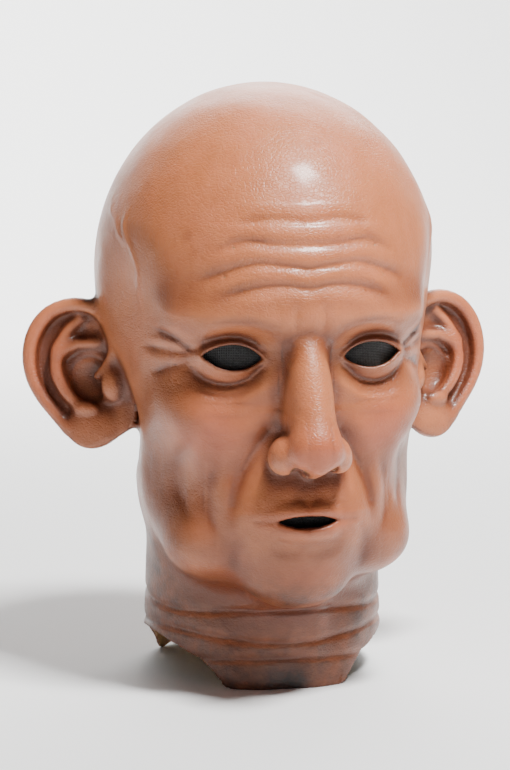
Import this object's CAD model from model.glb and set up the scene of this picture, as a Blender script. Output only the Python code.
"""Looks of an overhead latex costume mask: painted skin, gauze, foam, tapes and the collar's closure."""

import math

import bmesh
import bpy
import numpy as np
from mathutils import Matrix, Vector


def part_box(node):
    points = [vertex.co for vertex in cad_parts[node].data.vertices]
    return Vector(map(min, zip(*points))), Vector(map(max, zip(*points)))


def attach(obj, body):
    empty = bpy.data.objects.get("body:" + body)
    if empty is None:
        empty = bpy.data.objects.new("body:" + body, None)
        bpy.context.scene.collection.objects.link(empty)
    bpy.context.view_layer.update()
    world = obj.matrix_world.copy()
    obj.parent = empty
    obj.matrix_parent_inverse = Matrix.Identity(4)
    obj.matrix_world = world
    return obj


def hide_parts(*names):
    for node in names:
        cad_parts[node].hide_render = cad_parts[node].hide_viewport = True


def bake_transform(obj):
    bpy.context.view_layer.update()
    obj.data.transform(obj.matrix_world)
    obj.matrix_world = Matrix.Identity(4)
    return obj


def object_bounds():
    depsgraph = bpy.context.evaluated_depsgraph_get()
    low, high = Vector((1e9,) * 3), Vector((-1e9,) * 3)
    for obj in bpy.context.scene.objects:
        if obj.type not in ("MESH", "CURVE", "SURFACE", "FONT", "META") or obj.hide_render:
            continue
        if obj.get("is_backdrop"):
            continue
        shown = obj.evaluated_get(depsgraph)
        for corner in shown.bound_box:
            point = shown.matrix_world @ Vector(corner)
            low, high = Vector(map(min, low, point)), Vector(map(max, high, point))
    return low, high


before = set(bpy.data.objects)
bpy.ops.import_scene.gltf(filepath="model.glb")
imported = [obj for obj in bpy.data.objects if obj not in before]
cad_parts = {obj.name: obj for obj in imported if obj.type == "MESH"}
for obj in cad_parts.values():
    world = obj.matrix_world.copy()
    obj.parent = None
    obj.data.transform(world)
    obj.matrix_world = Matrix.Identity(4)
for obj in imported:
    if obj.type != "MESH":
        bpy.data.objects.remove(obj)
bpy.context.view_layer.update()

# The sculpt is written in millimetres about the head's own middle, SHIFT behind the frame's origin.
SHIFT = 11.4
VOXEL = 1.25
WALL = 2.5

CHIN_Z, CROWN_Z = 52.0, 355.0
UNIT = (CROWN_Z - CHIN_Z) / 3.5
EYE_Z = (CHIN_Z + CROWN_Z) / 2
BROW_Z = CHIN_Z + 2 * UNIT
NOSE_Z = CHIN_Z + UNIT
MOUTH_Z = NOSE_Z - UNIT / 3
EYE_X = 40.8
NECK_Y = 12.0
SLIT_TOP, FLAP_WIDTH, FLAP_HEM = 150.0, 48.0, 3.0
SLOPE = FLAP_WIDTH / SLIT_TOP
SLIT_HALF, RELIEF_Z, RELIEF_RADIUS = 0.7, 140.0, 10.0
WEARER = ((0, 2, 222), (78, 99, 100))  # centre and radii of the room kept for the wearer's head

VIEW_AZIMUTH, VIEW_ELEVATION = -12.0, 8.0
VIEW_DISTANCE, VIEW_TALL = 1.9, 0.462  # metres; the second is the frame's height at the mask
VIEW_OFFSET = (-0.0088, 0.0019, -0.003)  # metres from the mask's middle to the point in mid frame


# ---------------------------------------------------------------- distance fields


def vec(*numbers):
    return np.array(numbers, np.float32)


def ellipsoid(p, centre, radii, lean=0.0):
    q = p - vec(*centre)
    if lean:
        c, s = math.cos(math.radians(lean)), math.sin(math.radians(lean))
        q = np.stack([q[:, 0], c * q[:, 1] - s * q[:, 2], s * q[:, 1] + c * q[:, 2]], 1)
    r = vec(*radii)
    reach = np.linalg.norm(q / r, axis=1)
    slope = np.linalg.norm(q / (r * r), axis=1)
    return reach * (reach - 1) / np.maximum(slope, 1e-6)


def capsule(p, a, b, ra, rb):
    a, b = vec(*a), vec(*b)
    ab = b - a
    t = np.clip((p - a) @ ab / (ab @ ab), 0, 1)
    return np.linalg.norm(p - a - t[:, None] * ab, axis=1) - (ra + (rb - ra) * t)


def chain(p, beads):
    """Capsules through beads of (x, y, z, radius)."""
    return np.minimum.reduce([capsule(p, a[:3], b[:3], a[3], b[3]) for a, b in zip(beads, beads[1:])])


def join(a, b, soft):
    overlap = np.maximum(soft - np.abs(a - b), 0)
    return np.minimum(a, b) - overlap * overlap / (4 * soft)


def cut(a, b, soft):
    return -join(-a, b, soft)


def smooth_path(points, steps=6):
    """Catmull-Rom curve through the points, which may have any number of columns."""
    pts = np.array(points, float)
    pts = np.vstack([2 * pts[0] - pts[1], pts, 2 * pts[-1] - pts[-2]])
    out = []
    for i in range(1, len(pts) - 2):
        a, b, c, d = pts[i - 1 : i + 3]
        for t in np.linspace(0, 1, steps, endpoint=False):
            bend, twist = 2 * a - 5 * b + 4 * c - d, 3 * b - a - 3 * c + d
            out.append(0.5 * (2 * b + (c - a) * t + bend * t**2 + twist * t**3))
    out.append(pts[-2])
    return np.array(out)


def path_distance(q, path):
    """Distance of 2-D points from a polyline, and how far along it the nearest point is, from 0 to 1."""
    best = np.full(len(q), 1e9, np.float32)
    along = np.zeros(len(q), np.float32)
    count = len(path) - 1
    for i in range(count):
        a, b = path[i].astype(np.float32), path[i + 1].astype(np.float32)
        ab = b - a
        t = np.clip((q - a) @ ab / max(float(ab @ ab), 1e-9), 0, 1)
        d = np.linalg.norm(q - a - t[:, None] * ab, axis=1)
        nearer = d < best
        best[nearer] = d[nearer]
        along[nearer] = ((i + t) / count)[nearer]
    return best, along


# ---------------------------------------------------------------- the head


def neck_field(p):
    share = np.clip(p[:, 2] / 120.0, -0.2, 1)
    radius = 73.0 - 4.0 * share
    side = np.hypot(p[:, 0], (p[:, 1] - NECK_Y) / 1.04) - radius
    return np.maximum(np.maximum(side, -30 - p[:, 2]), p[:, 2] - 160)


CRANIUM = ((0, 4, CROWN_Z - 112), (102, 122, 112))
# Lumps pressed onto the cranium: centre, radii, and how widely each blends into the ones before it.
LUMPS = [
    ((0, -30, 165), (82, 78, 110), 16),  # face
    ((0, -18, 112), (77, 84, 50), 22),  # jaw
    ((0, -82, 76), (32, 25, 23), 18),  # chin
    ((0, -88, MOUTH_Z + 2), (42, 27, 32), 16),  # muzzle
    ((0, -74, BROW_Z + 2), (74, 43, 18), 14),  # brow
    ((48, -66, 165), (30, 31, 24), 18),  # cheekbone
]


def skull(p):
    """The head without nose, lips, ears and folds."""
    d = ellipsoid(p, *CRANIUM)
    for centre, radii, soft in LUMPS:
        d = join(d, ellipsoid(p, centre, radii), soft)
    d = join(d, neck_field(p), 18)
    d = cut(d, ellipsoid(p, (EYE_X, -117, EYE_Z), (26, 20, 17)), 10)  # socket
    return join(d, ellipsoid(p, (EYE_X, -83, EYE_Z), (21, 20, 18)), 5)  # lids


def nose(p):
    d = ellipsoid(p, (0, -112, 174), (14, 23, 38), 15)
    d = join(d, capsule(p, (0, -114, 206), (0, -135, 160), 8, 10.5), 9)
    d = join(d, ellipsoid(p, (0, -134, 153.5), (15.5, 14, 12.5)), 9)
    d = join(d, ellipsoid(p, (15, -119, 149.5), (10, 15, 11)), 4.5)
    return join(d, capsule(p, (0, -140, 146), (0, -120, 139), 4.6, 4.6), 4)


UPPER_LIP = [
    (0, -114.4, 114.2, 4.3), (6, -115.0, 115.6, 4.7), (16, -111.0, 114.0, 4.0), (29, -101.6, 110.6, 2.0),
]
LOWER_LIP = [(0, -113.8, 104.6, 5.9), (12, -111.9, 105.0, 5.4), (25, -104.8, 108.0, 3.0)]
LIP_PARTING = [
    (0, -122, 110.2, 1.5), (12, -120, 110, 1.5), (22, -114.8, 109.7, 1.2), (30, -109.8, 109.2, 0.9),
]


def lips(p):
    return np.minimum(chain(p, UPPER_LIP), chain(p, LOWER_LIP))


EAR_ROOT, EAR_FLARE, EAR_LEAN = (92, 6, 181), 64, 10
EAR_SHRINK = 0.925  # the beads below are written for an ear this much narrower


def ear_axes():
    a, b = math.radians(90 - EAR_LEAN), math.radians(90 - EAR_FLARE)
    about_x = np.array([[1, 0, 0], [0, math.cos(a), -math.sin(a)], [0, math.sin(a), math.cos(a)]])
    about_z = np.array([[math.cos(b), -math.sin(b), 0], [math.sin(b), math.cos(b), 0], [0, 0, 1]])
    return (about_z @ about_x).astype(np.float32)


# Beads (u outwards, v up, w forwards, radius) in the ear's own plane.
HELIX = [
    (9, -1, 0, 2.4), (2, 7, 3, 3.2), (-3, 18, 4, 3.9), (0, 30, 3.5, 4.2), (10, 38.5, 3.2, 4.2),
    (24, 41, 3.2, 4.3), (37, 36, 3.6, 4.5), (45, 25, 4.0, 4.6), (48, 11, 3.8, 4.4), (46, -3, 3.2, 4.0),
    (40, -15, 2.2, 3.7), (32, -25, 1.0, 3.5), (25, -33, 0, 3.6),
]
ANTIHELIX = [
    (18, -20, 1.5, 2.8), (26, -12, 2.6, 3.4), (32, 0, 3.4, 3.8), (32, 13, 3.0, 3.6), (28, 24, 2.0, 3.2),
    (21, 33, 1.0, 2.6),
]
LOWER_CRUS = [(31, 13, 2.6, 3.2), (21, 18, 1.6, 2.8), (9, 19, 0.6, 2.4)]
EAR_RIM = [
    (-14, -30), (2, -41), (14, -43), (25, -36), (35, -25), (43, -14), (48, -3), (50, 11), (47, 26), (38, 38),
    (24, 43.5), (9, 41), (-4, 34), (-14, 28),
]


def ear(p):
    q = (p - vec(*EAR_ROOT)) @ ear_axes() * vec(EAR_SHRINK, 1, 1)
    rim = smooth_path(EAR_RIM, 4)
    distance, _ = path_distance(q[:, :2], rim)
    closed = np.vstack([rim, rim[:1]])
    inside = np.zeros(len(q), bool)
    for (ua, va), (ub, vb) in zip(closed, closed[1:]):
        crosses = (va > q[:, 1]) != (vb > q[:, 1])
        with np.errstate(divide="ignore", invalid="ignore"):
            at = (ub - ua) * (q[:, 1] - va) / (vb - va) + ua
        inside ^= crosses & (q[:, 0] < at)
    flat = np.where(inside, -distance, distance)
    dish = -4.0 + 4.0 * np.clip(((q[:, 0] - 20) / 28) ** 2 + ((q[:, 1] - 2) / 42) ** 2, 0, 1.2)
    d = np.maximum(flat, np.abs(q[:, 2] - dish) - 2.3)
    d = join(d, ellipsoid(q, (13, -3, -5), (17, 19, 8)), 5)  # back of the bowl
    d = cut(d, ellipsoid(q, (14, -4, 3), (13, 14.5, 9.5)), 3)  # bowl
    d = join(d, chain(q, smooth_path(HELIX, 3)), 2.5)
    d = join(d, chain(q, smooth_path(ANTIHELIX, 3)), 5)
    d = join(d, chain(q, LOWER_CRUS), 6)
    d = join(d, ellipsoid(q, (12, -32, 0), (13, 12, 4.8)), 5)  # lobe
    d = join(d, ellipsoid(q, (-1, -6, 3.5), (6.5, 9.5, 5)), 6)  # tragus
    return join(d, ellipsoid(q, (14, -21, 3), (6.5, 4, 3.6)), 3)  # antitragus


# Folds of the face, seen from the front: points (x, z), depth, width, and the share of the depth at each end.
FACE_FOLDS = [
    ([(0, 243.5), (16, 245.5), (34, 243), (50, 237)], 1.3, 2.2, (1, 0.1)),
    ([(0, 254.5), (14, 256.5), (30, 257.5), (48, 252), (60, 246)], 1.6, 2.3, (1, 0.1)),
    ([(0, 267.5), (18, 268), (36, 269.5), (54, 262)], 1.5, 2.4, (1, 0.1)),
    ([(2, 281), (20, 282.5), (38, 280)], 1.0, 2.2, (1, 0.1)),
    ([(7.5, 218), (8.5, 227), (7, 236)], 0.9, 2.0, (0.3, 0.2)),
    ([(24, 206), (31, 212.5), (41, 215.5), (52, 213.5), (62, 207)], 1.3, 2.3, (0.5, 0.4)),
    ([(24, 197), (32, 190), (43, 187), (54, 189), (62, 195)], 1.7, 2.4, (0.8, 0.5)),
    ([(27, 190), (38, 182), (50, 181), (61, 186)], 1.1, 2.6, (0.6, 0.2)),
    ([(64, 208), (72, 214), (80, 217)], 1.0, 1.7, (1, 0.1)),
    ([(65, 204), (74, 205), (84, 205)], 1.1, 1.7, (1, 0.1)),
    ([(64, 199), (72, 195), (80, 189)], 1.0, 1.7, (1, 0.1)),
    ([(21, 160), (28, 149), (35, 134), (40, 117), (41, 104)], 2.4, 3.4, (0.8, 0.1)),
    ([(46, 146), (51, 130), (52, 112), (48, 98)], 0.9, 2.6, (0.2, 0.2)),
    ([(33, 104), (37, 95), (38, 86), (36, 77)], 0.9, 2.8, (0.9, 0.1)),
    ([(62, 158), (66, 140), (65, 120), (58, 102)], 0.8, 2.8, (0.2, 0.1)),
]
FOLD_PATHS = [smooth_path(points, 5) for points, *_ in FACE_FOLDS]
NECK_FOLDS = [(46, 1.3, 2.4, 2.5), (30, 1.1, 2.2, -2.0), (17, 0.8, 2.0, 1.5)]  # height, depth, width, wave
NAPE_FOLDS = [(168, 1.2, 3.2), (150, 2.0, 3.0), (129, 2.3, 3.0), (108, 1.5, 2.6)]  # height, depth, width

# Veins on the temple, seen from the side: points (y, z), and how far the vein stands out.
VEINS = [
    ([(-50, 222), (-46, 236), (-49, 249), (-43, 262), (-35, 273), (-33, 287)], 0.75),
    ([(-43, 262), (-32, 267), (-22, 276), (-9, 281), (3, 290)], 0.55),
]
VEIN_PATHS = [smooth_path(points, 4) for points, _ in VEINS]
VEIN_WIDTH = 2.4


def bell(offset):
    return np.exp(-(offset**2))


def fold_depth(p):
    """How far the folds of skin sink the surface: the face's, the neck's, the nape's, less the veins."""
    depth = np.zeros(len(p), np.float32)
    front = np.nonzero((p[:, 1] < -30) & (p[:, 2] > 60))[0]
    q = p[front][:, [0, 2]]
    for path, (_, deep, width, (start, end)) in zip(FOLD_PATHS, FACE_FOLDS):
        low, high = path.min(0) - 4 * width, path.max(0) + 4 * width
        near = np.nonzero(((q > low) & (q < high)).all(1))[0]
        distance, along = path_distance(q[near], path)
        fade = np.minimum(1, start + (1 - start) * along * 4)
        fade = fade * np.minimum(1, end + (1 - end) * (1 - along) * 4)
        share = distance / width
        groove = 0.75 * bell(share) + 0.35 * bell(share / 2.6) - 0.3 * bell(share / 2 - 1.6)
        depth[front[near]] += deep * fade * groove
    turn = np.arctan2(p[:, 0], -(p[:, 1] - NECK_Y))
    for height, deep, width, wave in NECK_FOLDS:
        offset = p[:, 2] - height - wave * np.cos(3 * turn)
        depth += deep * bell(offset / width) * np.clip((56 - p[:, 2]) / 8, 0, 1)
    behind = np.clip((p[:, 1] - 30) / 30, 0, 1)
    for height, deep, width in NAPE_FOLDS:
        offset = p[:, 2] - height + 5 * np.cos(p[:, 0] / 26) + 0.8 * np.sin(p[:, 0] / 6 + height)
        depth += deep * behind * (bell(offset / width) - 0.35 * bell(offset / width - 2.4))
    side = np.nonzero((p[:, 0] > 45) & (p[:, 2] > 205) & (p[:, 2] < 300))[0]
    for path, (_, high) in zip(VEIN_PATHS, VEINS):
        distance, along = path_distance(p[side][:, [1, 2]], path)
        fade = np.clip(6 * np.minimum(along, 1 - along), 0, 1)
        depth[side] -= high * fade * bell(distance / VEIN_WIDTH)
    depth += 0.35 * np.sin(p[:, 0] / 8 + 1) * np.sin(p[:, 1] / 9) * np.sin(p[:, 2] / 7.5)
    return depth


def almond(p, centre_x, centre_z, half_width, half_height, tilt=0.0):
    """2-D distance from an almond outline in the front view."""
    x, z = p[:, 0] - centre_x, p[:, 2] - centre_z
    c, s = math.cos(math.radians(tilt)), math.sin(math.radians(tilt))
    x, z = c * x + s * z, c * z - s * x
    radius = (half_width**2 + half_height**2) / (2 * half_height)
    offset = radius - half_height
    return np.maximum(np.hypot(x, z + offset), np.hypot(x, z - offset)) - radius


def eye_outline(p):
    return almond(p, EYE_X, EYE_Z, 17, 7.4, 3)


def mouth_outline(p):
    return almond(p, 0, MOUTH_Z, 17.5, 4.2)


def base_form(p):
    """The face and neck without lips, ears and the small edges: the inside of the skin follows it."""
    d = join(skull(p), nose(p), 7)
    d = cut(d, ellipsoid(p, (112, -54, 228), (20, 34, 32)), 28)  # temple
    d = cut(d, ellipsoid(p, (92, -86, 128), (20, 34, 30)), 30)  # hollow of the cheek
    d = join(d, ellipsoid(p, (50, -60, 90), (21, 27, 19)), 20)  # jowl
    d = join(d, chain(p, [(60, 22, 118, 11), (38, -30, 48, 9), (20, -50, -10, 9)]), 14)  # neck cord
    d = join(d, chain(p, [(14, -60, 66, 5), (15, -55, 34, 4), (13, -54, -10, 4)]), 12)  # band of the throat
    d = join(d, ellipsoid(p, (0, -56, 38), (9, 9, 15)), 12)  # larynx
    d = cut(d, chain(p, [(0, -119, 90.5, 4.5), (16, -114, 92, 4)]), 6)  # furrow above the chin
    return d + fold_depth(p)


def outer_form(p, base):
    """The outside of the skin."""
    d = cut(base, capsule(p, (0, -122.6, 136), (0, -121.4, 121), 3.2, 3.6), 3)  # philtrum
    d = join(d, lips(p), 4)
    d = cut(d, chain(p, LIP_PARTING), 2)
    d = cut(d, ellipsoid(p, (8.3, -130, 140.2), (4.6, 8.5, 6.5)), 2.5)  # nostril
    rim = bell((eye_outline(p) - 1.2) / 1.6)
    d = d - 0.9 * rim * (p[:, 1] < -70)
    near = np.nonzero(ear_box(p))[0]
    if len(near):
        d[near] = join(d[near], ear(p[near]), 7)
    return d


def ear_box(p):
    return (p[:, 0] > 68) & (np.abs(p[:, 2] - 181) < 62) & (np.abs(p[:, 1] - 20) < 55)


def hem_field(p):
    """Negative below the hem, which rises over each shoulder and a little across the flaps."""
    arch = ellipsoid(p * vec(0, 1, 1), (0, 3, 0), (1e4, 56, 26))
    lift = FLAP_HEM * np.clip((52 - p[:, 0]) / 8, 0, 1) * (p[:, 1] > 30)
    return join(arch, p[:, 2] - lift, 5)


def shell(p):
    """The latex skin with all its openings, before the flaps beside the slit are parted from it."""
    p = np.stack([np.abs(p[:, 0]), p[:, 1], p[:, 2]], 1)
    base = base_form(p)
    d = cut(outer_form(p, base), base + WALL, 0.6)
    d = cut(d, hem_field(p), 0.9)
    front = np.maximum(p[:, 1] + 60, 0)
    d = cut(d, np.maximum(eye_outline(p), front), 1.2)
    d = cut(d, np.maximum(mouth_outline(p), front), 1.2)
    d = cut(d, ellipsoid(p, (8.3, -127, 143), (3.4, 5.5, 12)), 1.0)
    behind = np.maximum(40 - p[:, 1], 0)
    relief = np.maximum(np.hypot(p[:, 0], p[:, 2] - RELIEF_Z) - RELIEF_RADIUS, behind)
    slit = np.maximum(np.maximum(p[:, 0] - SLIT_HALF, p[:, 2] - RELIEF_Z), behind)
    return cut(d, np.minimum(relief, slit), 0.6)


# ---------------------------------------------------------------- field to mesh


def sample_half(field, low, high, step, block=8):
    """Values of the field at the nodes of a grid whose x starts at 0, fine only where the surface can be."""
    size = step * block
    blocks = np.ceil((np.array(high) - low) / size).astype(int)
    nodes = blocks * block + 1
    values = np.empty(nodes, np.float32)
    corners = np.stack(np.meshgrid(*[np.arange(n) for n in blocks], indexing="ij"), -1).reshape(-1, 3)
    centres = (np.array(low) + (corners + 0.5) * size).astype(np.float32)
    at_centre = np.concatenate([field(part) for part in np.array_split(centres, 8)])
    for (i, j, k), value in zip(corners * block, at_centre):
        values[i : i + block + 1, j : j + block + 1, k : k + block + 1] = value
    live = corners[np.abs(at_centre) < size * 0.87 + 4]
    local = np.stack(np.meshgrid(*[np.arange(block + 1)] * 3, indexing="ij"), -1).reshape(-1, 3)
    for group in np.array_split(live, max(1, len(live) // 400)):
        points = (group[:, None, :] * block + local[None]).reshape(-1, 3) * step + low
        found = field(points.astype(np.float32)).reshape(len(group), block + 1, block + 1, block + 1)
        for (i, j, k), cube in zip(group * block, found):
            values[i : i + block + 1, j : j + block + 1, k : k + block + 1] = cube
    return values


def surface_nets(values, low, step):
    """Vertices and quads of the zero surface of the grid, the vertices' cells, and each cell's vertex."""
    inside = values < 0
    corners = [(i, j, k) for i in (0, 1) for j in (0, 1) for k in (0, 1)]
    cells = np.array(values.shape) - 1
    count = np.zeros(cells, np.int8)
    for i, j, k in corners:
        count += inside[i : i + cells[0], j : j + cells[1], k : k + cells[2]]
    live = np.argwhere((count > 0) & (count < 8))
    number = np.full(cells, -1, np.int32)
    number[tuple(live.T)] = np.arange(len(live))
    total, hits = np.zeros((len(live), 3)), np.zeros(len(live))
    for a in corners:
        for axis in range(3):
            if a[axis]:
                continue
            b = tuple(a[n] + (n == axis) for n in range(3))
            va, vb = values[tuple((live + a).T)], values[tuple((live + b).T)]
            crossed = (va < 0) != (vb < 0)
            t = va[crossed] / (va[crossed] - vb[crossed])
            total[crossed] += np.array(a) + t[:, None] * (np.array(b) - a)
            hits[crossed] += 1
    vertices = (live + total / hits[:, None]) * step + low
    quads = []
    for axis in range(3):
        one, two = [(1, 2), (2, 0), (0, 1)][axis]
        first = [slice(None)] * 3
        second = [slice(None)] * 3
        first[axis], second[axis] = slice(0, -1), slice(1, None)
        start, end = inside[tuple(first)], inside[tuple(second)]
        edges = np.argwhere(start != end)
        keep = (edges[:, one] > 0) & (edges[:, one] < cells[one])
        keep &= (edges[:, two] > 0) & (edges[:, two] < cells[two])
        edges = edges[keep]
        step_one, step_two = np.eye(3, dtype=int)[one], np.eye(3, dtype=int)[two]
        ring = [edges - step_one - step_two, edges - step_two, edges, edges - step_one]
        found = np.stack([number[tuple(cell.T)] for cell in ring], 1)
        outward = start[tuple(edges.T)]
        found[~outward] = found[~outward][:, ::-1]
        quads.append(found)
    return vertices, np.concatenate(quads), live, number


def slopes(field, p, reach=0.3):
    """The field's value and its gradient."""
    here = field(p)
    steps = np.eye(3, dtype=np.float32) * reach
    return here, np.stack([(field(p + step) - here) / reach for step in steps], 1)


def settle(field, p, most=0.6):
    """Moves points towards the field's zero surface."""
    value, slope = slopes(field, p)
    move = -(value / np.maximum((slope**2).sum(1), 0.05))[:, None] * slope
    length = np.linalg.norm(move, axis=1, keepdims=True)
    return p + move * np.minimum(1, most / np.maximum(length, 1e-6))


def even_out(p, quads, share=0.6):
    """Moves each vertex towards the middle of its neighbours."""
    heads = quads.ravel()
    tails = np.roll(quads, 1, axis=1).ravel()
    one, two = np.concatenate([heads, tails]), np.concatenate([tails, heads])
    count = np.bincount(one, minlength=len(p))
    middle = np.stack([np.bincount(one, p[two, axis], len(p)) for axis in range(3)], 1) / count[:, None]
    return (p + share * (middle - p)).astype(np.float32)


def mirrored_surface(field, low, high, step, rounds=3):
    """Vertices and quads of a surface that is the same on both sides of x = 0."""
    half = sample_half(field, low, high, step)
    corner = np.array([-(half.shape[0] - 1) * step, low[1], low[2]])
    p, quads, cells, number = surface_nets(np.concatenate([half[:0:-1], half]), corner, step)
    last = 2 * half.shape[0] - 3
    left = np.nonzero(cells[:, 0] > last // 2)[0]
    twin = number[last - cells[left, 0], cells[left, 1], cells[left, 2]]
    for _ in range(rounds):
        p = even_out(p, quads)
        p[left] = settle(field, p[left])
        p[twin] = p[left] * vec(-1, 1, 1)
    return p, quads


# ---------------------------------------------------------------- meshes


def mesh_object(name, points, faces):
    """A smooth-shaded object from points in the head's millimetres and rows of vertex numbers."""
    mesh = bpy.data.meshes.new(name)
    metres = ((np.asarray(points) + (0, SHIFT, 0)) / 1000).astype(np.float32)
    faces = np.asarray(faces, np.int32)
    mesh.vertices.add(len(metres))
    mesh.vertices.foreach_set("co", metres.ravel())
    mesh.loops.add(faces.size)
    mesh.loops.foreach_set("vertex_index", faces.ravel())
    mesh.polygons.add(len(faces))
    mesh.polygons.foreach_set("loop_start", np.arange(len(faces), dtype=np.int32) * faces.shape[1])
    mesh.update(calc_edges=True)
    mesh.shade_smooth()
    made = bpy.data.objects.new(name, mesh)
    bpy.context.collection.objects.link(made)
    return made


def applied(obj):
    """Turns the object's modifiers into its mesh."""
    graph = bpy.context.evaluated_depsgraph_get()
    mesh = bpy.data.meshes.new_from_object(obj.evaluated_get(graph))
    old = obj.data
    obj.modifiers.clear()
    obj.data = mesh
    bpy.data.meshes.remove(old)
    return obj


def thinned(obj, triangles):
    count = sum(len(face.vertices) - 2 for face in obj.data.polygons)
    if count > triangles:
        modifier = obj.modifiers.new("thin", "DECIMATE")
        modifier.ratio = triangles / count
        applied(obj)
    return obj


def head_points(obj):
    """The object's vertices in the head's millimetres."""
    mesh = obj.data
    points = np.empty(len(mesh.vertices) * 3, np.float32)
    mesh.vertices.foreach_get("co", points)
    return points.reshape(-1, 3) * 1000 - vec(0, SHIFT, 0)


def store(obj, name, values):
    """Keeps one number or one vector for each vertex."""
    values = np.asarray(values, np.float32)
    kind, field = ("FLOAT", "value") if values.ndim == 1 else ("FLOAT_VECTOR", "vector")
    obj.data.attributes.new(name, kind, "POINT").data.foreach_set(field, values.ravel())


def cutter(name, corners):
    """A prism along Y through the back of the neck, from corners (x, z) in millimetres."""
    near, far = 40.0, 130.0
    points = [(x, y, z) for y in (near, far) for x, z in corners]
    n = len(corners)
    made = bmesh.new()
    verts = [made.verts.new((x / 1000, (y + SHIFT) / 1000, z / 1000)) for x, y, z in points]
    made.faces.new(verts[:n])
    made.faces.new(verts[n:][::-1])
    for i in range(n):
        j = (i + 1) % n
        made.faces.new([verts[i], verts[n + i], verts[n + j], verts[j]])
    bmesh.ops.recalc_face_normals(made, faces=made.faces)
    mesh = bpy.data.meshes.new(name)
    made.to_mesh(mesh)
    made.free()
    obj = bpy.data.objects.new(name, mesh)
    bpy.context.collection.objects.link(obj)
    return obj


def boolean(obj, tool, operation):
    modifier = obj.modifiers.new("cut", "BOOLEAN")
    modifier.object = tool
    modifier.operation = operation
    modifier.solver = "MANIFOLD"
    return applied(obj)


def sharpen(obj, directions):
    """Keeps the shading crisp round the flat faces that a cut left, whose normals are given as (x, z)."""
    mesh = obj.data
    normals = np.empty(len(mesh.polygons) * 3, np.float32)
    mesh.polygons.foreach_get("normal", normals)
    normals = normals.reshape(-1, 3)
    flat = np.zeros(len(normals), bool)
    for x, z in directions:
        flat |= np.abs(normals @ vec(x, 0, z)) > 0.9999
    made = bmesh.new()
    made.from_mesh(mesh)
    made.faces.ensure_lookup_table()
    for index in np.nonzero(flat)[0]:
        for edge in made.faces[index].edges:
            edge.smooth = False
    made.to_mesh(mesh)
    made.free()


# ---------------------------------------------------------------- paint kept on the vertices


def spot(p, centre, radii):
    """1 in the middle of a soft spot, 0 outside it."""
    q = (p - vec(*centre)) / vec(*radii)
    return np.exp(-(q * q).sum(1))


def paint(obj):
    """Where the airbrush went: brown in the hollows, pink on the raised places, darker on the neck."""
    p = head_points(obj)
    store(obj, "place", (p + vec(0, SHIFT, 0)) / 1000)
    p = np.stack([np.abs(p[:, 0]), p[:, 1], p[:, 2]], 1)
    base, outer = base_form(p), lambda q: outer_form(q, base_form(q))
    _, slope = slopes(outer, p, 0.8)
    normal = slope / np.linalg.norm(slope, axis=1, keepdims=True)
    wash = np.zeros(len(p), np.float32)
    raised = np.zeros(len(p), np.float32)
    for reach, share in ((2.5, 0.5), (6, 0.45), (16, 0.45)):
        wash += share * np.clip((reach - outer(p + normal * reach)) / reach * 1.8, 0, 1)
        if reach > 3:
            raised += 0.5 * np.clip((reach + outer(p - normal * reach)) / reach * 1.4, 0, 1)
    store(obj, "wash", np.clip(wash, 0, 1))
    store(obj, "raised", np.clip(raised, 0, 1))
    store(obj, "bare", np.clip((-base - 1.3) / 0.9, 0, 1))
    blush = 0.9 * spot(p, (50, -84, 160), (20, 40, 20))
    blush += 0.9 * spot(p, (0, -142, 154), (20, 18, 15))
    blush += 1.0 * spot(p, (0, -118, 110), (27, 18, 7))
    blush += 0.5 * spot(p, (0, -100, 76), (22, 30, 13))
    blush += 0.7 * spot(p, (130, 20, 185), (16, 40, 50))
    store(obj, "blush", np.clip(blush, 0, 1))
    chin_line = 64 + 0.32 * np.maximum(p[:, 1] + 70, 0)
    shade = np.clip((chin_line + 14 - p[:, 2]) / 30, 0, 1) * np.clip((0.6 - normal[:, 2]) / 0.6, 0.4, 1)
    shade += 0.5 * np.clip((p[:, 1] + 20) / 70, 0, 1) * np.clip((205 - p[:, 2]) / 90, 0, 1)
    shade += 0.55 * np.clip((175 - p[:, 2]) / 110, 0, 1) * np.clip((0.75 - normal[:, 2]) / 0.75, 0, 1)
    shade += 0.75 * spot(p, (EYE_X, -112, EYE_Z + 1), (23, 30, 13))
    shade += 0.6 * spot(p, (84, -52, 120), (22, 44, 48))
    store(obj, "soot", np.clip(1.2 * spot(p, (0, -66, 2), (16, 22, 12)), 0, 1))
    store(obj, "shade", np.clip(shade, 0, 1))


# ---------------------------------------------------------------- materials


def colour(red, green, blue):
    """A colour given as 0-255 screen values, as the shader's linear numbers."""
    shares = [c / 255 for c in (red, green, blue)]
    return (*[((c + 0.055) / 1.055) ** 2.4 if c > 0.04 else c / 12.92 for c in shares], 1)


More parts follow.
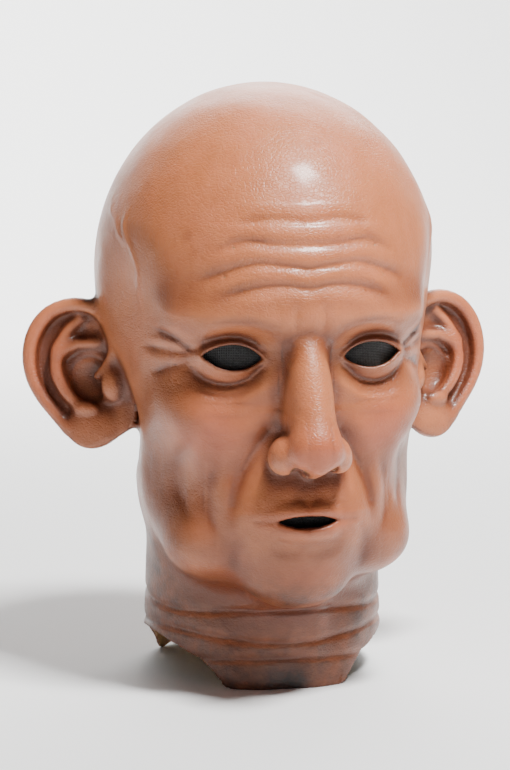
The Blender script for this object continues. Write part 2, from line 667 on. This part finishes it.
class Finish:
    """A procedural material, with short calls for the nodes that the finishes below use."""

    def __init__(self, name, **constants):
        self.material = bpy.data.materials.new(name)
        self.material.use_nodes = True
        self.tree = self.material.node_tree
        self.shader = self.tree.nodes["Principled BSDF"]
        for key, value in constants.items():
            self.shader.inputs[key.replace("_", " ")].default_value = value
        self.place = self.kept("place", "Vector")

    def node(self, kind, inputs=(), **settings):
        made = self.tree.nodes.new("ShaderNode" + kind)
        for key, value in settings.items():
            setattr(made, key, value)
        for key, value in inputs:
            if isinstance(value, bpy.types.NodeSocket):
                self.tree.links.new(value, made.inputs[key])
            else:
                made.inputs[key].default_value = value
        return made

    def kept(self, name, output="Fac"):
        return self.node("Attribute", attribute_name=name).outputs[output]

    def noise(self, scale, detail=3.0, rough=0.55):
        inputs = [("Vector", self.place), ("Scale", scale), ("Detail", detail), ("Roughness", rough)]
        return self.node("TexNoise", inputs).outputs["Fac"]

    def cells(self, scale, feature="F1", where=None):
        inputs = [("Vector", where or self.place), ("Scale", scale)]
        return self.node("TexVoronoi", inputs, feature=feature).outputs["Distance"]

    def wave(self, scale, axis):
        inputs = [("Vector", self.place), ("Scale", scale)]
        return self.node("TexWave", inputs, bands_direction=axis).outputs["Fac"]

    def stretched(self, x, y, z):
        return self.node("Mapping", [("Vector", self.place), ("Scale", (x, y, z))]).outputs["Vector"]

    def sum(self, operation, a, b):
        return self.node("Math", [(0, a), (1, b)], operation=operation).outputs[0]

    def span(self, value, low, high, to_low=0.0, to_high=1.0):
        inputs = [("Value", value), ("From Min", low), ("From Max", high)]
        inputs += [("To Min", to_low), ("To Max", to_high)]
        return self.node("MapRange", inputs).outputs["Result"]

    def mix(self, share, a, b, blend="MIX"):
        inputs = [(0, share), (6, a), (7, b)]
        return self.node("Mix", inputs, data_type="RGBA", blend_type=blend).outputs[2]

    def link(self, output, socket):
        self.tree.links.new(output, self.shader.inputs[socket])

    def bump(self, *heights):
        """Layers of (height, distance in metres)."""
        normal = None
        for height, distance in heights:
            inputs = [("Height", height), ("Distance", distance), ("Strength", 1.0)]
            if normal:
                inputs.append(("Normal", normal))
            normal = self.node("Bump", inputs).outputs["Normal"]
        self.link(normal, "Normal")


def latex_finish():
    """Flesh-coloured latex, airbrushed brown in the hollows and pink where it is raised, and bare inside."""
    f = Finish(
        "painted_latex",
        Subsurface_Weight=0.12,
        Subsurface_Radius=(1.0, 0.45, 0.25),
        Subsurface_Scale=0.004,
        Coat_Weight=0.2,
        Coat_Roughness=0.17,
        IOR=1.46,
    )
    wash, blush, shade = f.kept("wash"), f.kept("blush"), f.kept("shade")
    raised, bare = f.kept("raised"), f.kept("bare")
    clouds = f.noise(26, 4, 0.6)
    mottle = f.noise(75, 4, 0.65)
    speckle = f.noise(420, 2, 0.6)
    flesh = f.mix(f.span(clouds, 0.35, 0.68), colour(186, 110, 66), colour(195, 115, 76))
    flesh = f.mix(f.span(mottle, 0.42, 0.7, 0, 0.4), flesh, colour(168, 92, 52))
    flesh = f.mix(f.sum("MULTIPLY", raised, 0.45), flesh, colour(212, 136, 94))
    flesh = f.mix(f.sum("MULTIPLY", blush, f.span(mottle, 0.2, 0.8, 0.55, 0.9)), flesh, colour(178, 82, 54))
    neck = f.mix(f.span(clouds, 0.4, 0.62), colour(74, 34, 15), colour(102, 50, 20))
    neck = f.mix(f.span(mottle, 0.35, 0.7, 0, 0.65), neck, colour(50, 25, 14))
    flesh = f.mix(f.sum("MULTIPLY", shade, f.span(mottle, 0.25, 0.75, 0.7, 1.0)), flesh, neck)
    brown = f.mix(f.span(mottle, 0.35, 0.65), colour(88, 38, 20), colour(112, 54, 27))
    spread = f.sum("MULTIPLY", f.span(wash, 0.05, 0.8), f.span(mottle, 0.2, 0.8, 0.7, 1.1))
    flesh = f.mix(f.span(spread, 0, 1, 0, 0.95), flesh, brown)
    flesh = f.mix(f.span(wash, 0.75, 1.3, 0, 0.7), flesh, colour(56, 26, 17))
    spots = f.sum("MULTIPLY", f.span(f.cells(34), 0.17, 0.09), f.span(clouds, 0.46, 0.6, 0.0, 0.4))
    flesh = f.mix(spots, flesh, colour(132, 66, 38))
    flecks = f.sum("MULTIPLY", f.span(speckle, 0.6, 0.72), f.span(clouds, 0.45, 0.65, 0.0, 0.35))
    flesh = f.mix(flecks, flesh, colour(126, 62, 36))
    smudge = f.sum("MULTIPLY", f.kept("soot"), f.span(mottle, 0.3, 0.7, 0.5, 1.0))
    flesh = f.mix(smudge, flesh, colour(30, 21, 17))
    raw = f.mix(f.span(mottle, 0.3, 0.7), colour(190, 152, 104), colour(208, 174, 128))
    f.link(f.mix(bare, flesh, raw), "Base Color")
    rough = f.span(f.noise(60, 3), 0.3, 0.7, 0.38, 0.52)
    f.link(f.sum("ADD", rough, f.sum("MULTIPLY", bare, 0.2)), "Roughness")
    pores = f.cells(700)
    lines = f.cells(340, "DISTANCE_TO_EDGE", f.stretched(1, 1, 1.6))
    f.bump((f.noise(120, 4), 0.0005), (f.span(lines, 0, 0.14), 0.0001), (pores, 0.00011))
    return f.material


def gauze_finish(name, light, dark, pitch):
    """Open woven gauze: two crossed sets of threads over darkness."""
    f = Finish(name, Roughness=0.85, Sheen_Weight=0.25, Sheen_Roughness=0.5)
    across, up = f.wave(pitch, "X"), f.wave(pitch, "Z")
    threads = f.sum("MAXIMUM", across, up)
    tone = f.mix(f.span(f.noise(900, 2), 0.3, 0.7), light, dark)
    f.link(f.mix(f.span(threads, 0.35, 0.8), colour(6, 6, 7), tone), "Base Color")
    f.bump((threads, 0.0004))
    return f.material


def foam_finish():
    f = Finish("foam", Roughness=0.95)
    holes = f.cells(900)
    tone = f.mix(f.span(f.noise(90), 0.3, 0.7), colour(62, 62, 66), colour(82, 82, 86))
    f.link(f.mix(f.span(holes, 0.1, 0.5), colour(24, 24, 26), tone), "Base Color")
    f.bump((holes, 0.0009), (f.noise(120), 0.001))
    return f.material


def tape_finish(name, light, dark, pitch=620.0, fuzz=0.0):
    """Woven cotton or nylon tape."""
    f = Finish(name, Roughness=0.88, Sheen_Weight=0.3, Sheen_Roughness=0.5)
    warp, weft = f.wave(pitch, "X"), f.wave(pitch, "Z")
    weave = f.sum("MULTIPLY", warp, weft)
    pile = f.noise(2200, 3, 0.7)
    height = f.sum("ADD", f.sum("MULTIPLY", weave, 1 - fuzz), f.sum("MULTIPLY", pile, 0.4 + fuzz))
    stain = f.mix(f.span(f.noise(60), 0.35, 0.7), light, dark)
    f.link(f.mix(f.span(height, 0.2, 0.9), dark, stain), "Base Color")
    f.bump((height, 0.0005))
    return f.material


def floor_finish():
    f = Finish("studio_paper", Roughness=0.9)
    f.place = f.node("TexCoord").outputs["Object"]
    f.link(f.mix(f.noise(3), colour(243, 243, 242), colour(247, 247, 246)), "Base Color")
    return f.material


# ---------------------------------------------------------------- liner pieces, tapes and closure


def box_of(node):
    """A node's corners in the head's millimetres."""
    low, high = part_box(node)
    return np.array(low) * 1000 - (0, SHIFT, 0), np.array(high) * 1000 - (0, SHIFT, 0)


def wall_y(x, z, depth, side):
    """Where the line along Y through (x, z) meets the layer that lies depth under the skin's smooth form."""
    p = np.stack([x, np.full_like(x, 170.0 * side), z], 1).astype(np.float32)
    for _ in range(60):
        q = p.copy()
        q[:, 0] = np.abs(q[:, 0])
        p[:, 1] -= side * 0.8 * (base_form(q) + depth)
    return p[:, 1]


def smoothed(grid, rounds):
    for _ in range(rounds):
        padded = np.pad(grid, 1, mode="edge")
        grid = (padded[:-2, 1:-1] + padded[2:, 1:-1] + padded[1:-1, :-2] + padded[1:-1, 2:]) / 4
    return grid


def ribbon(name, low, high, depth, thickness, side=1, right=None, smooth=6, step=1.2, corner=2.5):
    """
    A strip that lies along the head's wall, between the heights of low and high (x, z).
    right(z) may give its right edge instead, and a negative depth lies outside the skin.
    """
    columns = max(8, int((high[0] - low[0]) / step))
    rows = max(8, int((high[1] - low[1]) / step))
    u, v = np.meshgrid(np.linspace(0, 1, columns), np.linspace(0, 1, rows), indexing="ij")
    z = low[1] + (high[1] - low[1]) * v
    edge = high[0] if right is None else right(z)
    x = low[0] + (edge - low[0]) * u
    # Rounded corners: the rows near an end draw in, as a quarter circle does.
    end = np.minimum(v, 1 - v) * (high[1] - low[1])
    draw = corner - np.sqrt(np.maximum(corner**2 - np.maximum(corner - end, 0) ** 2, 0))
    middle = (low[0] + edge) / 2
    x = middle + (x - middle) * (1 - 2 * draw / np.maximum(np.abs(edge - low[0]), 2 * corner + 0.1))
    inner_face = wall_y(x.ravel(), z.ravel(), depth, side).reshape(x.shape)
    lifted = side * smoothed(side * inner_face, smooth)
    clear = np.minimum if depth > 0 else np.maximum
    near = side * clear(side * lifted, side * inner_face)
    # The edges of the strip are thinner, as a rolled or pressed edge is.
    border = np.minimum(np.minimum(u, 1 - u) * np.abs(edge - low[0]), end)
    thick = thickness * (0.45 + 0.55 * np.clip(border / 1.0, 0, 1) ** 0.5)
    away = -side if depth > 0 else side
    far = near + away * thick
    front = np.stack([x, near, z], -1).reshape(-1, 3)
    back = np.stack([x, far, z], -1).reshape(-1, 3)
    index = np.arange(columns * rows).reshape(columns, rows)
    faces = [np.stack([index[:-1, :-1], index[1:, :-1], index[1:, 1:], index[:-1, 1:]], -1).reshape(-1, 4)]
    faces.append(faces[0][:, ::-1] + columns * rows)
    rim = np.concatenate([index[:, 0], index[-1, 1:], index[-2::-1, -1], index[0, -2:0:-1]])
    after = np.roll(rim, -1)
    faces.append(np.stack([rim, rim + columns * rows, after + columns * rows, after], -1))
    made = mesh_object(name, np.concatenate([front, back]), np.concatenate(faces))
    fix = bmesh.new()
    fix.from_mesh(made.data)
    bmesh.ops.recalc_face_normals(fix, faces=fix.faces)
    fix.to_mesh(made.data)
    fix.free()
    return made


def stitches(obj, path, lift, length=2.4, gap=1.0, radius=0.32):
    """Adds a row of thread stitches over the piece, along a path of (x, z) with its depth under the skin."""
    points, faces = [], []
    path = np.array(path, float)
    legs = np.linalg.norm(np.diff(path, axis=0), axis=1)
    travelled = np.concatenate([[0], np.cumsum(legs)])
    starts = np.arange(gap / 2, travelled[-1] - length, length + gap)
    ring, beads = 6, 5
    ends = np.array([starts + length * t for t in np.linspace(0, 1, beads)]).T
    x = np.interp(ends, travelled, path[:, 0])
    z = np.interp(ends, travelled, path[:, 1])
    y = wall_y(x.ravel(), z.ravel(), lift, 1).reshape(x.shape)
    for sx, sy, sz in zip(x, y, z):
        line = np.stack([sx, sy, sz], 1)
        run = line[-1] - line[0]
        run /= np.linalg.norm(run)
        sideways = np.cross(run, (0, 1, 0))
        sideways /= np.linalg.norm(sideways)
        up = np.cross(sideways, run)
        first = len(points)
        for i, bead in enumerate(line):
            share = math.sin(math.pi * (i + 0.35) / (beads - 0.3))
            for turn in np.linspace(0, 2 * math.pi, ring, endpoint=False):
                points.append(bead + radius * share * (math.cos(turn) * sideways + math.sin(turn) * up))
        for i in range(beads - 1):
            for j in range(ring):
                k = (j + 1) % ring
                a, b = first + i * ring, first + (i + 1) * ring
                faces.append((a + j, a + k, b + k, b + j))
        for i in (0, beads - 1):
            a = first + i * ring
            faces.append((a, a + 1, a + 2, a + 5))
            faces.append((a + 5, a + 2, a + 3, a + 4))
    thread = mesh_object(obj.name + "_thread", np.array(points), np.array(faces))
    fix = bmesh.new()
    fix.from_mesh(obj.data)
    own = len(fix.faces)
    fix.from_mesh(thread.data)
    fix.faces.ensure_lookup_table()
    bmesh.ops.recalc_face_normals(fix, faces=fix.faces[own:])
    for face in fix.faces[own:]:
        face.material_index = 1
    fix.to_mesh(obj.data)
    fix.free()
    bpy.data.objects.remove(thread)
    return obj


def round_the_edge(left, right, bottom, top):
    """The seam that runs once round a patch, as points (x, z)."""
    return [(left, bottom), (right, bottom), (right, top), (left, top), (left, bottom)]


def keep_place(obj):
    store(obj, "place", (head_points(obj) + vec(0, SHIFT, 0)) / 1000)


def dress(obj, *materials):
    obj.data.materials.clear()
    for made in materials:
        obj.data.materials.append(made)
    keep_place(obj)
    return obj


def foam_block(node):
    """A foam pad: the space between the skin and the wearer's head inside the node's box, with soft edges."""
    low, high = box_of(node)
    middle, half = (low + high) / 2, (high - low) / 2 - 3.0

    def field(p):
        q = np.abs(p - middle.astype(np.float32)) - half.astype(np.float32)
        d = np.linalg.norm(np.maximum(q, 0), axis=1) + np.minimum(q.max(1), 0) - 3.0
        m = np.stack([np.abs(p[:, 0]), p[:, 1], p[:, 2]], 1)
        d = cut(d, -(skull(m) + WALL + 3.4), 5)
        return cut(d, ellipsoid(p, *WEARER), 6)

    step = 1.5
    start = low - 2 * step
    values = sample_half(field, start, high + 2 * step, step, 4)
    points, faces, _, _ = surface_nets(values, start, step)
    points = even_out(points.astype(np.float32), faces, 0.4)
    return mesh_object(node + "_foam", settle(field, points), faces)


# ---------------------------------------------------------------- assembly


LATEX = latex_finish()
EYE_GAUZE = gauze_finish("eye_gauze", colour(62, 63, 64), colour(34, 35, 36), 330.0)
MOUTH_GAUZE = gauze_finish("mouth_gauze", colour(30, 30, 32), colour(16, 16, 18), 330.0)
FOAM = foam_finish()
COTTON = tape_finish("cotton_tape", colour(168, 142, 106), colour(122, 98, 70))
WEBBING = tape_finish("closure_webbing", colour(96, 74, 60), colour(58, 43, 35), 500.0)
LOOP_PILE = tape_finish("loop_pile", colour(84, 66, 54), colour(46, 35, 29), 260.0, fuzz=0.8)
THREAD = tape_finish("sewing_thread", colour(128, 104, 84), colour(84, 64, 50), 1500.0)

TRIANGLES = 188000  # of the skin before it is cut into the mask and its two flaps


def bend_with_flap(obj):
    """The piece stays with the mask at the flap's slanting line and turns with the flap past its bend."""
    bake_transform(obj)


def build_skin():
    low = np.array([0.0, -156.0, -6.0])
    high = np.array([148.0, 136.0, 362.0])
    points, faces = mirrored_surface(shell, low, high, VOXEL)
    whole = thinned(mesh_object("skin", points, faces), TRIANGLES)
    outline = [(-FLAP_WIDTH - 10 * SLOPE, -10), (FLAP_WIDTH + 10 * SLOPE, -10), (0, SLIT_TOP)]
    across = math.hypot(1, SLOPE)
    slants = [(1 / across, SLOPE / across), (-1 / across, SLOPE / across)]
    made = []
    for side, node in ((1, "nape_flap_left"), (-1, "nape_flap_right")):
        flap = bpy.data.objects.new(node + "_skin", whole.data.copy())
        bpy.context.collection.objects.link(flap)
        tool = cutter("half", [(0, -10), (side * outline[1][0], -10), (0, SLIT_TOP)])
        boolean(flap, tool, "INTERSECT")
        bpy.data.objects.remove(tool)
        made.append((flap, side, node))
    tool = cutter("both", outline)
    boolean(whole, tool, "DIFFERENCE")
    bpy.data.objects.remove(tool)
    whole.name = "painted_skin"
    for obj in [whole] + [flap for flap, _, _ in made]:
        sharpen(obj, slants)
        paint(obj)
        obj.data.materials.clear()
        obj.data.materials.append(LATEX)
    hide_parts("latex_skin")
    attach(whole, "mask")
    for flap, side, node in made:
        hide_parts(node)
        bend_with_flap(flap)


def build_screens():
    for side, node in ((1, "eye_screen_left"), (-1, "eye_screen_right")):
        low, high = box_of(node)
        ends = (low[0], low[2]), (high[0], high[2])
        piece = ribbon(node + "_gauze", *ends, WALL + 0.5, 0.9, side=-1, smooth=60)
        dress(piece, EYE_GAUZE)
        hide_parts(node)
        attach(piece, "mask")
    low, high = box_of("mouth_screen")
    columns, rows = 40, 28
    u, v = np.meshgrid(np.linspace(-1, 1, columns), np.linspace(-1, 1, rows), indexing="ij")
    x, z = u * high[0], (low[2] + high[2]) / 2 + v * (high[2] - low[2]) / 2
    sag = 0.35 * np.sin(u * 7) * np.cos(v * 5)
    behind = wall_y(x.ravel(), z.ravel(), WALL + 0.8, -1).reshape(x.shape)
    y = smoothed(np.maximum(behind, low[1] + 0.05) + 0.3 * sag, 3)
    front = np.stack([x, np.maximum(y, behind), z], -1).reshape(-1, 3)
    back = front + (0, 0.6, 0)
    index = np.arange(columns * rows).reshape(columns, rows)
    face = np.stack([index[:-1, :-1], index[1:, :-1], index[1:, 1:], index[:-1, 1:]], -1).reshape(-1, 4)
    rim = np.concatenate([index[:, 0], index[-1, 1:], index[-2::-1, -1], index[0, -2:0:-1]])
    after = np.roll(rim, -1)
    side_faces = np.stack([rim, rim + columns * rows, after + columns * rows, after], -1)
    faces = np.concatenate([face, face[:, ::-1] + columns * rows, side_faces[:, ::-1]])
    piece = mesh_object("mouth_screen_gauze", np.concatenate([front, back]), faces)
    dress(piece, MOUTH_GAUZE)
    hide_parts("mouth_screen")
    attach(piece, "mask")


def build_pads():
    for node in ("crown_pad", "brow_pad", "temple_pad_left", "temple_pad_right", "occipital_pad"):
        piece = dress(foam_block(node), FOAM)
        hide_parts(node)
        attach(piece, "mask")


def build_tapes():
    low, high = box_of("slit_stay")
    stay = ribbon("slit_stay_tape", (low[0], low[2]), (high[0], high[2]), WALL + 0.4, 1.0)
    stitches(stay, round_the_edge(-17, 17, low[2] + 3, high[2] - 3), WALL + 1.4)
    dress(stay, COTTON, THREAD)
    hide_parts("slit_stay")
    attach(stay, "mask")
    for side, node in ((1, "slit_tape_left"), (-1, "slit_tape_right")):
        low, high = box_of(node)
        near, far = (low[0], high[0]) if side > 0 else (high[0], low[0])

        def edge(z, side=side, far=far):
            slant = side * (FLAP_WIDTH - SLOPE * z - 1.5)
            return np.minimum(far, slant) if side > 0 else np.maximum(far, slant)

        tape = ribbon(node + "_cotton", (near, low[2]), (far, high[2]), WALL + 0.4, 0.9, right=edge, smooth=3)
        seam = [(near + side * 1.6, low[2] + 2), (near + side * 1.6, high[2] - 4)]
        stitches(tape, seam, WALL + 1.3)
        dress(tape, COTTON, THREAD)
        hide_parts(node)
        bend_with_flap(tape)


def sewn_strip(name, node, lift, thickness, seam, margins, crossed=False):
    """
    A strip of the closure, lift outside the collar, with a seam round it and, if crossed, along its diagonals.
    margins are to the seam from the strip's left end and from its other edges. seam is the thread's lift.
    """
    low, high = box_of(node)
    strip = ribbon(name, (low[0], low[2]), (high[0], high[2]), -lift, thickness, smooth=4)
    left, right = low[0] + margins[0], high[0] - margins[1]
    bottom, top = low[2] + margins[1], high[2] - margins[1]
    path = round_the_edge(left, right, bottom, top)
    if crossed:
        path.append((right, top))
    stitches(strip, path, -seam)
    if crossed:
        stitches(strip, [(left, top), (right, bottom)], -seam)
    return strip


def build_closure():
    patch = sewn_strip("closure_loop_pile", "closure_loop_patch", 0.3, 0.75, 0.95, (1.6, 1.6))
    dress(patch, LOOP_PILE, THREAD)
    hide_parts("closure_loop_patch")
    bend_with_flap(patch)
    base = sewn_strip("closure_base_webbing", "closure_tab_base", 0.3, 1.4, 1.75, (2, 2), crossed=True)
    dress(base, WEBBING, THREAD)
    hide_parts("closure_tab_base")
    bend_with_flap(base)
    tab = sewn_strip("closure_tab_webbing", "closure_tab", 1.2, 1.4, 2.65, (8, 2))
    dress(tab, WEBBING, THREAD)
    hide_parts("closure_tab")
    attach(tab, "closure_tab")


def build_studio():
    """Pale paper that curves up behind the mask, a soft key from above, and weaker lights round it."""
    floor = bpy.data.meshes.new("floor")
    reach, rise, bend, radius = 4.0, 3.0, 1.6, 1.0
    profile = [(-reach, 0.0), (bend, 0.0)]
    for turn in np.linspace(0, math.pi / 2, 14)[1:]:
        profile.append((bend + radius * math.sin(turn), radius - radius * math.cos(turn)))
    profile.append((bend + radius, rise))
    points = [(x, y, z) for x in (-reach, reach) for y, z in profile]
    n = len(profile)
    floor.from_pydata(points, [], [(i, i + n, i + n + 1, i + 1) for i in range(n - 1)])
    floor.shade_smooth()
    backdrop = bpy.data.objects.new("floor", floor)
    floor.materials.append(floor_finish())
    bpy.context.collection.objects.link(backdrop)
    backdrop.rotation_euler[2] = math.radians(VIEW_AZIMUTH)
    backdrop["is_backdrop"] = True
    world = bpy.data.worlds.new("studio")
    world.use_nodes = True
    world.node_tree.nodes["Background"].inputs[0].default_value = (1, 1, 1, 1)
    world.node_tree.nodes["Background"].inputs[1].default_value = 0.09
    bpy.context.scene.world = world
    mask_middle = (0, 0, 0.2)
    for name, place, target, power, size in (
        ("key", (0.45, -0.7, 1.9), mask_middle, 92, 0.4),
        ("fill", (-1.6, -1.0, 0.5), mask_middle, 0.5, 1.2),
        ("back", (0.6, 1.5, 1.5), mask_middle, 26, 1.2),
        ("floor_wash", (-0.2, 1.8, 1.6), (0.3, 3.2, 0.3), 90, 1.6),
    ):
        lamp = bpy.data.lights.new(name, "AREA")
        lamp.energy, lamp.size = power, size
        light = bpy.data.objects.new(name, lamp)
        light.location = place
        aim = Vector(target) - Vector(place)
        light.rotation_euler = aim.to_track_quat("-Z", "Y").to_euler()
        bpy.context.collection.objects.link(light)


def build_camera():
    """The mask fills the frame's width with its ears, seen from its own right and a little above."""
    low, high = (np.array(corner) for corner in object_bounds())
    middle = Vector(((low + high) / 2).tolist()) + Vector(VIEW_OFFSET)
    azimuth, elevation = math.radians(VIEW_AZIMUTH), math.radians(VIEW_ELEVATION)
    away = Vector(
        (
            math.sin(azimuth) * math.cos(elevation),
            -math.cos(azimuth) * math.cos(elevation),
            math.sin(elevation),
        )
    )
    camera = bpy.data.cameras.new("camera")
    camera.sensor_fit = "VERTICAL"
    camera.sensor_height = 24
    camera.lens = camera.sensor_height * VIEW_DISTANCE / VIEW_TALL
    eye = bpy.data.objects.new("camera", camera)
    eye.location = middle + away * VIEW_DISTANCE
    eye.rotation_euler = (-away).to_track_quat("-Z", "Y").to_euler()
    bpy.context.collection.objects.link(eye)
    bpy.context.scene.camera = eye


build_camera()
build_skin()
build_screens()
build_pads()
build_tapes()
build_closure()
build_studio()
